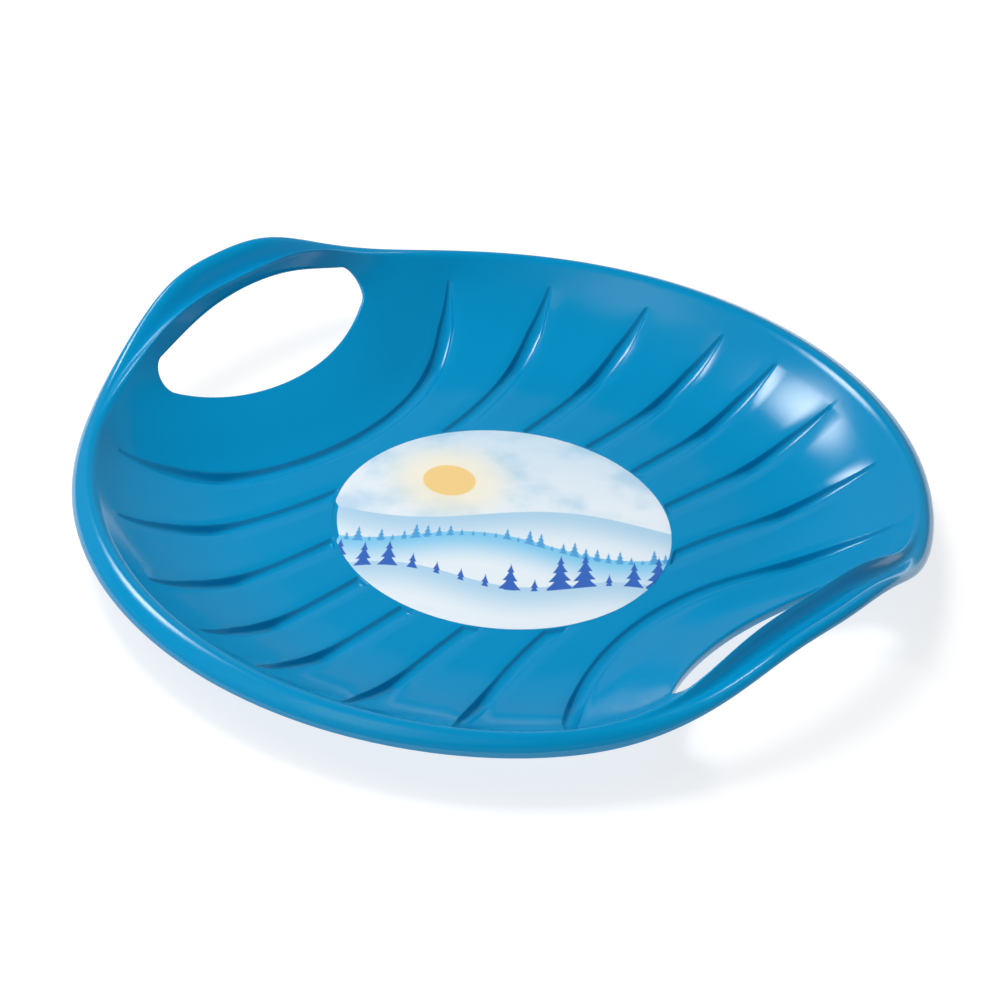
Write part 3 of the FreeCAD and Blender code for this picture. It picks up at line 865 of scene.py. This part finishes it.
def shell_tree():
    """The node tree that lifts a quarter net to the dish with its grooves and mirrors it."""
    tree = bpy.data.node_groups.new("Sled moulding", "GeometryNodeTree")
    sockets = tree.interface
    sockets.new_socket("Net", in_out="INPUT", socket_type="NodeSocketGeometry")
    for name, key, description in SHELL_INPUTS:
        socket = sockets.new_socket(
            name, in_out="INPUT", socket_type="NodeSocketFloat", description=description
        )
        socket.subtype = "DISTANCE"
    sockets.new_socket("Fall", in_out="INPUT", socket_type="NodeSocketFloat")
    sockets.new_socket("Plastic", in_out="INPUT", socket_type="NodeSocketMaterial")
    sockets.new_socket("Moulding", in_out="OUTPUT", socket_type="NodeSocketGeometry")
    given = add_node(tree, "NodeGroupInput").outputs
    value = {name: given[name] for name, key, description in SHELL_INPUTS}
    value["Fall"] = given["Fall"]
    for key in NET_VALUES:
        named = add_node(tree, "GeometryNodeInputNamedAttribute", {"Name": key}, data_type="FLOAT")
        value[key] = named.outputs["Attribute"]
    place = add_node(tree, "GeometryNodeInputPosition").outputs[0]
    flat = add_node(tree, "ShaderNodeVectorMath", (place, (1.0, 1.0, 0.0)), operation="MULTIPLY").outputs[0]
    radius = add_node(tree, "ShaderNodeVectorMath", (flat,), operation="LENGTH")
    value["radius"] = radius.outputs["Value"]
    for result, operation, *terms in DISH_SUMS + GROOVE_SUMS:
        inputs = [value.get(term, term) for term in terms]
        value[result] = add_node(tree, MATHS, inputs, operation=operation).outputs[0]
    offset = add_node(tree, "ShaderNodeCombineXYZ", {"Z": value["lifted"]}).outputs[0]
    lift = {"Geometry": given["Net"], "Offset": offset}
    quarter = add_node(tree, "GeometryNodeSetPosition", lift).outputs[0]

    # The other three quarters are mirrored copies
    whole = quarter
    for mirror in ((-1.0, 1.0, 1.0), (1.0, -1.0, 1.0)):
        turned = add_node(tree, "GeometryNodeTransform", {"Geometry": whole, "Scale": mirror}).outputs[0]
        flipped = add_node(tree, "GeometryNodeFlipFaces", (turned,)).outputs[0]
        joined = add_node(tree, "GeometryNodeJoinGeometry", (whole,))
        tree.links.new(flipped, joined.inputs[0])
        whole = joined.outputs[0]
    weld = {"Geometry": whole, "Distance": SEAM_GAP}
    welded = add_node(tree, "GeometryNodeMergeByDistance", weld).outputs[0]
    smooth = add_node(tree, "GeometryNodeSetShadeSmooth", (welded,)).outputs[0]
    real = add_node(tree, "GeometryNodeRealizeInstances", (smooth,)).outputs[0]
    paint = {"Geometry": real, "Material": given["Plastic"]}
    painted = add_node(tree, "GeometryNodeSetMaterial", paint).outputs[0]
    add_node(tree, "NodeGroupOutput", (painted,))
    return tree


def set_inputs(modifier, values):
    """Sets a node modifier's inputs by the identifiers of their sockets."""
    for item in modifier.node_group.interface.items_tree:
        if item.item_type == "SOCKET" and item.in_out == "INPUT" and item.name in values:
            modifier[item.identifier] = values[item.name]


def show(mesh, name):
    """A new object in the scene."""
    piece = bpy.data.objects.new(name, mesh)
    bpy.context.scene.collection.objects.link(piece)
    return piece


def face_outwards(mesh):
    """Merges doubles and turns every face of a closed mesh outwards."""
    work = bmesh.new()
    work.from_mesh(mesh)
    bmesh.ops.remove_doubles(work, verts=work.verts, dist=DOUBLE_GAP)
    bmesh.ops.recalc_face_normals(work, faces=work.faces)
    loose = [edge for edge in work.edges if len(edge.link_faces) != 2]
    if loose:
        spots = [tuple(round(c / MM, 1) for c in edge.verts[0].co) for edge in loose[:8]]
        raise RuntimeError("%s is open at %d edges: %s" % (mesh.name, len(loose), spots))
    work.to_mesh(mesh)
    work.free()


def new_material(name):
    """An empty node material with a shader and a place in the object's own frame."""
    material = bpy.data.materials.new(name)
    material.use_nodes = True
    tree = material.node_tree
    tree.nodes.clear()
    shader = add_node(tree, "ShaderNodeBsdfPrincipled")
    add_node(tree, "ShaderNodeOutputMaterial", {"Surface": shader.outputs[0]})
    place = add_node(tree, "ShaderNodeTexCoord").outputs["Object"]
    return material, tree, shader, place


def moulded_polypropylene(colours):
    """Glossy injection-moulded polypropylene."""
    # Polished moulding: clean mirror gloss with a faint waviness from shrinkage, and an even pigment
    material, tree, shader, place = new_material("Moulded polypropylene")
    shader.inputs["IOR"].default_value = POLYPROPYLENE_IOR
    noises = []
    for size, detail in ((DRIFT_SIZE, 2.0), (GRAIN_SIZE, 1.0), (RIPPLE_SIZE, 1.0)):
        pattern = {"Vector": place, "Scale": 1 / (size * MM), "Detail": detail}
        noises.append(add_node(tree, "ShaderNodeTexNoise", pattern).outputs[0])
    drift, grain, ripple = noises
    pigment = {
        "Factor": drift,
        "A": [channel * DEEP_SHARE for channel in colours.plastic] + [1.0],
        "B": [*colours.plastic, 1.0],
    }
    tint = add_node(tree, MIX, pigment, **RGBA).outputs["Result"]
    tree.links.new(tint, shader.inputs["Base Color"])
    gloss = add_node(tree, RANGE, (grain, *GRAIN_STEP)).outputs[0]
    tree.links.new(gloss, shader.inputs["Roughness"])
    waves = {"Height": ripple, "Strength": RIPPLE_STRENGTH, "Distance": RIPPLE_DEPTH * MM}
    bump = add_node(tree, "ShaderNodeBump", waves).outputs[0]
    tree.links.new(bump, shader.inputs["Normal"])
    return material


def printed_film(colours, sizes):
    """Printed polypropylene film under a clear coat."""
    # Film label: soft icy inks under a smooth clear layer
    material, tree, shader, place = new_material("Printed film")
    inks = {name: [*getattr(colours, name), 1.0] for name in SledColours.__annotations__}
    scale = 1 / sizes.label_radius
    turn = {"Vector": place, "Rotation": (0.0, 0.0, -PRINT_TURN), "Scale": (scale, scale, 0.0)}
    turned = add_node(tree, "ShaderNodeMapping", turn).outputs[0]
    split = add_node(tree, "ShaderNodeSeparateXYZ", (turned,)).outputs
    across, along = split["X"], split["Y"]

    # Pale sky, bluer towards the top, with drifting mist
    drift = {"Vector": turned, "Scale": MIST_SCALE, "Detail": 4.0, "Roughness": 0.5}
    noise = add_node(tree, "ShaderNodeTexNoise", drift).outputs[0]
    mist = add_node(tree, RANGE, (noise, *MIST_STEP), **SOFT).outputs[0]
    sky = add_node(tree, RANGE, (along, *SKY_STEP), **SOFT).outputs[0]
    depth = add_node(tree, MATHS, (mist, sky), operation="ADD").outputs[0]
    layers = [(depth, inks["ice"])]

    # A low sun in a soft glow
    sun = (*SUN_PLACE, 0.0)
    away = add_node(tree, "ShaderNodeVectorMath", (turned, sun), operation="DISTANCE").outputs["Value"]
    for step, tint in ((GLOW_STEP, inks["glow"]), (SUN_STEP, inks["gold"])):
        layers.append((add_node(tree, RANGE, (away, *step), **SOFT).outputs[0], tint))

    # Rows of hills that fade into mist, the nearer ones with fir trees along their tops
    for height, swing, waves, shift, tint, count, tall, fir_tint in HILLS:
        bearing = add_node(tree, MATHS, (across, waves, shift), operation="MULTIPLY_ADD").outputs[0]
        wave = add_node(tree, MATHS, (bearing,), operation="SINE").outputs[0]
        top = add_node(tree, MATHS, (wave, swing, height), operation="MULTIPLY_ADD").outputs[0]
        below = add_node(tree, MATHS, (top, along), operation="SUBTRACT").outputs[0]
        haze = add_node(tree, RANGE, (below, *HAZE_STEP), **SOFT).outputs[0]
        slope = {"Factor": haze, "A": inks[tint], "B": inks["frost"]}
        misty = add_node(tree, MIX, slope, **RGBA).outputs["Result"]
        layers.append((add_node(tree, RANGE, (below, *HILL_STEP), **SOFT).outputs[0], misty))
        if count:
            layers.append((fir_row(tree, across, below, count, tall), inks[fir_tint]))

    # Each ink is laid over those before it
    ink = inks["frost"]
    for share, tint in layers:
        ink = add_node(tree, MIX, {"Factor": share, "A": ink, "B": tint}, **RGBA).outputs["Result"]
    tree.links.new(ink, shader.inputs["Base Color"])
    shader.inputs["Roughness"].default_value = 0.28
    shader.inputs["IOR"].default_value = POLYPROPYLENE_IOR
    shader.inputs["Coat Weight"].default_value = 0.5
    shader.inputs["Coat Roughness"].default_value = 0.12
    return material


def fir_row(tree, across, below, count, tall):
    """Where a row of fir trees of various heights stands on a hill's top."""
    place = add_node(tree, MATHS, (across, count), operation="MULTIPLY").outputs[0]
    cell = add_node(tree, MATHS, (place,), operation="FLOOR").outputs[0]
    chance = add_node(tree, "ShaderNodeTexWhiteNoise", {"W": cell}, noise_dimensions="1D").outputs["Value"]
    growth = (chance, *FIR_CHANCE, FIR_LOWEST * tall, tall)
    fir_top = add_node(tree, RANGE, growth, **SOFT).outputs[0]

    # Distance from the nearest trunk, height over the foot, and height left to the top
    in_cell = add_node(tree, MATHS, (place,), operation="FRACT").outputs[0]
    centred = add_node(tree, MATHS, (in_cell, 0.5), operation="SUBTRACT").outputs[0]
    off_trunk = add_node(tree, MATHS, (centred,), operation="ABSOLUTE").outputs[0]
    sideways = add_node(tree, MATHS, (off_trunk, count), operation="DIVIDE").outputs[0]
    height = add_node(tree, MATHS, (FIR_SINK, below), operation="SUBTRACT").outputs[0]
    left = add_node(tree, MATHS, (fir_top, height), operation="SUBTRACT").outputs[0]

    # Tiers that flare towards their lower ends
    tiers = add_node(tree, MATHS, (left, tall / FIR_TIERS), operation="DIVIDE").outputs[0]
    tier = add_node(tree, MATHS, (tiers,), operation="FRACT").outputs[0]
    flare = add_node(tree, MATHS, (tier, *FIR_FLARE), operation="MULTIPLY_ADD").outputs[0]
    reach = add_node(tree, MATHS, (left, flare), operation="MULTIPLY").outputs[0]
    inside = add_node(tree, MATHS, (reach, sideways), operation="SUBTRACT").outputs[0]
    shape = add_node(tree, RANGE, (inside, *FIR_SIDE_STEP), **SOFT).outputs[0]
    foot = add_node(tree, RANGE, (height, *FIR_FOOT_STEP), **SOFT).outputs[0]
    return add_node(tree, MATHS, (shape, foot), operation="MULTIPLY").outputs[0]


class SLED_OT_moulding(bpy.types.Operator):
    """Build the moulded shell with its grooves, rim and hand holes"""

    bl_idname = "sled.moulding"
    bl_label = "Build moulding"

    def execute(self, context):
        sizes = context.scene.sled_sizes
        rule = Moulding(sizes)
        net = Net(rule)
        rim_line, places = net.add_skin(0.0)
        net.add_skin(1.0, places)
        net.add_sections([rule.rim_section(x, y) for x, y in rim_line])
        net.add_sections([rule.hole_section(place) for place in places])
        draft = show(net.mesh("Sled net"), "sled_net")
        modifier = draft.modifiers.new("Moulding", "NODES")
        modifier.node_group = shell_tree()
        values = {name: getattr(sizes, key) for name, key, description in SHELL_INPUTS}
        values["Fall"] = rule.groove_fall()
        values["Plastic"] = moulded_polypropylene(context.scene.sled_colours)
        set_inputs(modifier, values)
        graph = context.evaluated_depsgraph_get()
        mesh = bpy.data.meshes.new_from_object(draft.evaluated_get(graph))
        mesh.name = "Saucer sled moulding"
        draft.modifiers.remove(modifier)
        bpy.data.objects.remove(draft)
        for key in net.values:
            mesh.attributes.remove(mesh.attributes[key])
        face_outwards(mesh)
        shell = show(mesh, "sled_moulding")
        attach(shell, "root")
        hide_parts("saucer_shell")
        return {"FINISHED"}


class SLED_OT_label(bpy.types.Operator):
    """Build the round film label in the floor"""

    bl_idname = "sled.label"
    bl_label = "Build label"

    def execute(self, context):
        sizes = context.scene.sled_sizes
        radius = sizes.label_radius / MM
        top = sizes.floor_level / MM
        low = top - sizes.label_thickness / MM
        profile = [(share, low) for share in FILM_LOW_RINGS]
        profile += [(share, top - depth) for share, depth in FILM_EDGE]
        profile += [(share, top) for share in FILM_TOP_RINGS]
        work = bmesh.new()
        rings = []
        for share, height in profile:
            ring = []
            for step in range(FILM_STEPS):
                bearing = 2 * math.pi * step / FILM_STEPS
                away = (bearing - NOTCH_BEARING + math.pi) % (2 * math.pi) - math.pi
                cut = (NOTCH_LENGTH / 2 - abs(away) * radius) / NOTCH_SLANT
                reach = radius - NOTCH_DEPTH * min(max(cut, 0.0), 1.0)
                x = share * reach * math.cos(bearing)
                y = share * reach * math.sin(bearing)
                ring.append(work.verts.new((x * MM, y * MM, height * MM)))
            rings.append(ring)
        for lower, upper in zip(rings, rings[1:]):
            for step in range(FILM_STEPS):
                after = (step + 1) % FILM_STEPS
                work.faces.new((lower[step], lower[after], upper[after], upper[step]))
        for ring, height in ((rings[0], low), (rings[-1], top)):
            middle = work.verts.new((0.0, 0.0, height * MM))
            for step in range(FILM_STEPS):
                work.faces.new((ring[step], ring[(step + 1) % FILM_STEPS], middle))
        mesh = bpy.data.meshes.new("Film label")
        for face in work.faces:
            face.smooth = True
        work.to_mesh(mesh)
        work.free()
        face_outwards(mesh)
        mesh.materials.append(printed_film(context.scene.sled_colours, sizes))
        label = show(mesh, "film_label")
        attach(label, "root")
        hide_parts("centre_label")
        return {"FINISHED"}


def soften(lamp):
    """Lets a light fade from its middle to its edges, as a softbox does."""
    lamp.use_nodes = True
    tree = lamp.node_tree
    spot = add_node(tree, "ShaderNodeNewGeometry").outputs["Parametric"]
    middle = (0.5, 0.5, 0.0)
    away = add_node(tree, "ShaderNodeVectorMath", (spot, middle), operation="DISTANCE").outputs["Value"]
    glow = add_node(tree, RANGE, (away, *KEY_FADE, 1.0, 0.0), **SOFT).outputs[0]
    tree.links.new(glow, tree.nodes["Emission"].inputs["Strength"])


class SLED_OT_stage(bpy.types.Operator):
    """Set up the floor, the lights and the camera"""

    bl_idname = "sled.stage"
    bl_label = "Set up stage"

    def execute(self, context):
        scene = context.scene
        studio = scene.sled_studio
        mesh = bpy.data.meshes.new("Studio floor")
        signs = ((-1, -1), (1, -1), (1, 1), (-1, 1))
        corners = [(x * TABLE_HALF, y * TABLE_HALF, 0.0) for x, y in signs]
        mesh.from_pydata(corners, [], [(0, 1, 2, 3)])
        material, tree, shader, place = new_material("White light table")
        shader.inputs["Base Color"].default_value = TABLE_COLOUR
        shader.inputs["Roughness"].default_value = TABLE_ROUGHNESS
        shader.inputs["Emission Color"].default_value = WHITE
        # Painted light: the floor glows at the table strength near the sled and fully white further out,
        # which lifts the sled's shadow and whitens the floor
        away = add_node(tree, "ShaderNodeVectorMath", (place,), operation="LENGTH").outputs["Value"]
        glow = add_node(tree, RANGE, (away, *PAINTED_GLOW_FADE, studio.table, 1.0), **SOFT).outputs[0]
        tree.links.new(glow, shader.inputs["Emission Strength"])
        mesh.materials.append(material)
        floor = show(mesh, "studio_floor")

        world = bpy.data.worlds.new("Studio room")
        scene.world = world
        world.use_nodes = True
        room = world.node_tree
        towards = add_node(room, "ShaderNodeTexCoord").outputs["Generated"]
        height = add_node(room, "ShaderNodeSeparateXYZ", (towards,)).outputs["Z"]
        room_light = (height, *WALL_TOP, studio.walls, studio.ceiling)
        glow = add_node(room, RANGE, room_light, **SOFT).outputs[0]
        room.nodes["Background"].inputs["Color"].default_value = WHITE
        room.links.new(glow, room.nodes["Background"].inputs["Strength"])

        for name, power, size, (azimuth, elevation), distance, mirrored in LIGHTS:
            lamp = bpy.data.lights.new(name, "AREA")
            lamp.shape = "RECTANGLE"
            lamp.size, lamp.size_y = size
            lamp.energy = getattr(studio, power)
            turn, lift = math.radians(azimuth), math.radians(elevation)
            heading = Vector(
                (math.cos(turn) * math.cos(lift), math.sin(turn) * math.cos(lift), math.sin(lift))
            )
            light = bpy.data.objects.new(name, lamp)
            light.location = heading * distance
            light.rotation_euler = heading.to_track_quat("Z", "Y").to_euler()
            light.visible_glossy = mirrored
            if mirrored:
                soften(lamp)
            scene.collection.objects.link(light)

        camera = bpy.data.cameras.new("Camera")
        camera.sensor_width = CAMERA_FILM
        camera.lens = CAMERA_LENS
        eye = bpy.data.objects.new("Camera", camera)
        axes = Matrix((CAMERA_RIGHT, CAMERA_UP, CAMERA_BACK)).transposed().to_4x4()
        eye.matrix_world = Matrix.Translation(CAMERA_PLACE) @ axes
        scene.collection.objects.link(eye)
        scene.camera = eye
        scene.view_settings.view_transform = "Standard"
        return {"FINISHED"}


class SLED_PT_panel(bpy.types.Panel):
    """Sizes, colours and steps of the saucer sled"""

    bl_idname = "SLED_PT_panel"
    bl_label = "Saucer sled"
    bl_space_type = "VIEW_3D"
    bl_region_type = "UI"
    bl_category = "Saucer sled"

    def draw(self, context):
        for group in (context.scene.sled_sizes, context.scene.sled_colours, context.scene.sled_studio):
            box = self.layout.box()
            for key in type(group).__annotations__:
                box.prop(group, key)
        for operator in (SLED_OT_moulding, SLED_OT_label, SLED_OT_stage):
            self.layout.operator(operator.bl_idname)


CLASSES = (
    SledSizes,
    SledColours,
    StudioSettings,
    SLED_OT_moulding,
    SLED_OT_label,
    SLED_OT_stage,
    SLED_PT_panel,
)


def register():
    """Registers the classes and gives the scene its settings."""
    for item in CLASSES:
        bpy.utils.register_class(item)
    bpy.types.Scene.sled_sizes = bpy.props.PointerProperty(type=SledSizes)
    bpy.types.Scene.sled_colours = bpy.props.PointerProperty(type=SledColours)
    bpy.types.Scene.sled_studio = bpy.props.PointerProperty(type=StudioSettings)


def unregister():
    """Takes the settings and the classes away again."""
    del bpy.types.Scene.sled_studio
    del bpy.types.Scene.sled_colours
    del bpy.types.Scene.sled_sizes
    for item in reversed(CLASSES):
        bpy.utils.unregister_class(item)


def main():
    """Builds the sled and its stage."""
    register()
    bpy.ops.sled.moulding()
    bpy.ops.sled.label()
    bpy.ops.sled.stage()
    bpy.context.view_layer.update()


if __name__ == "__main__":
    main()
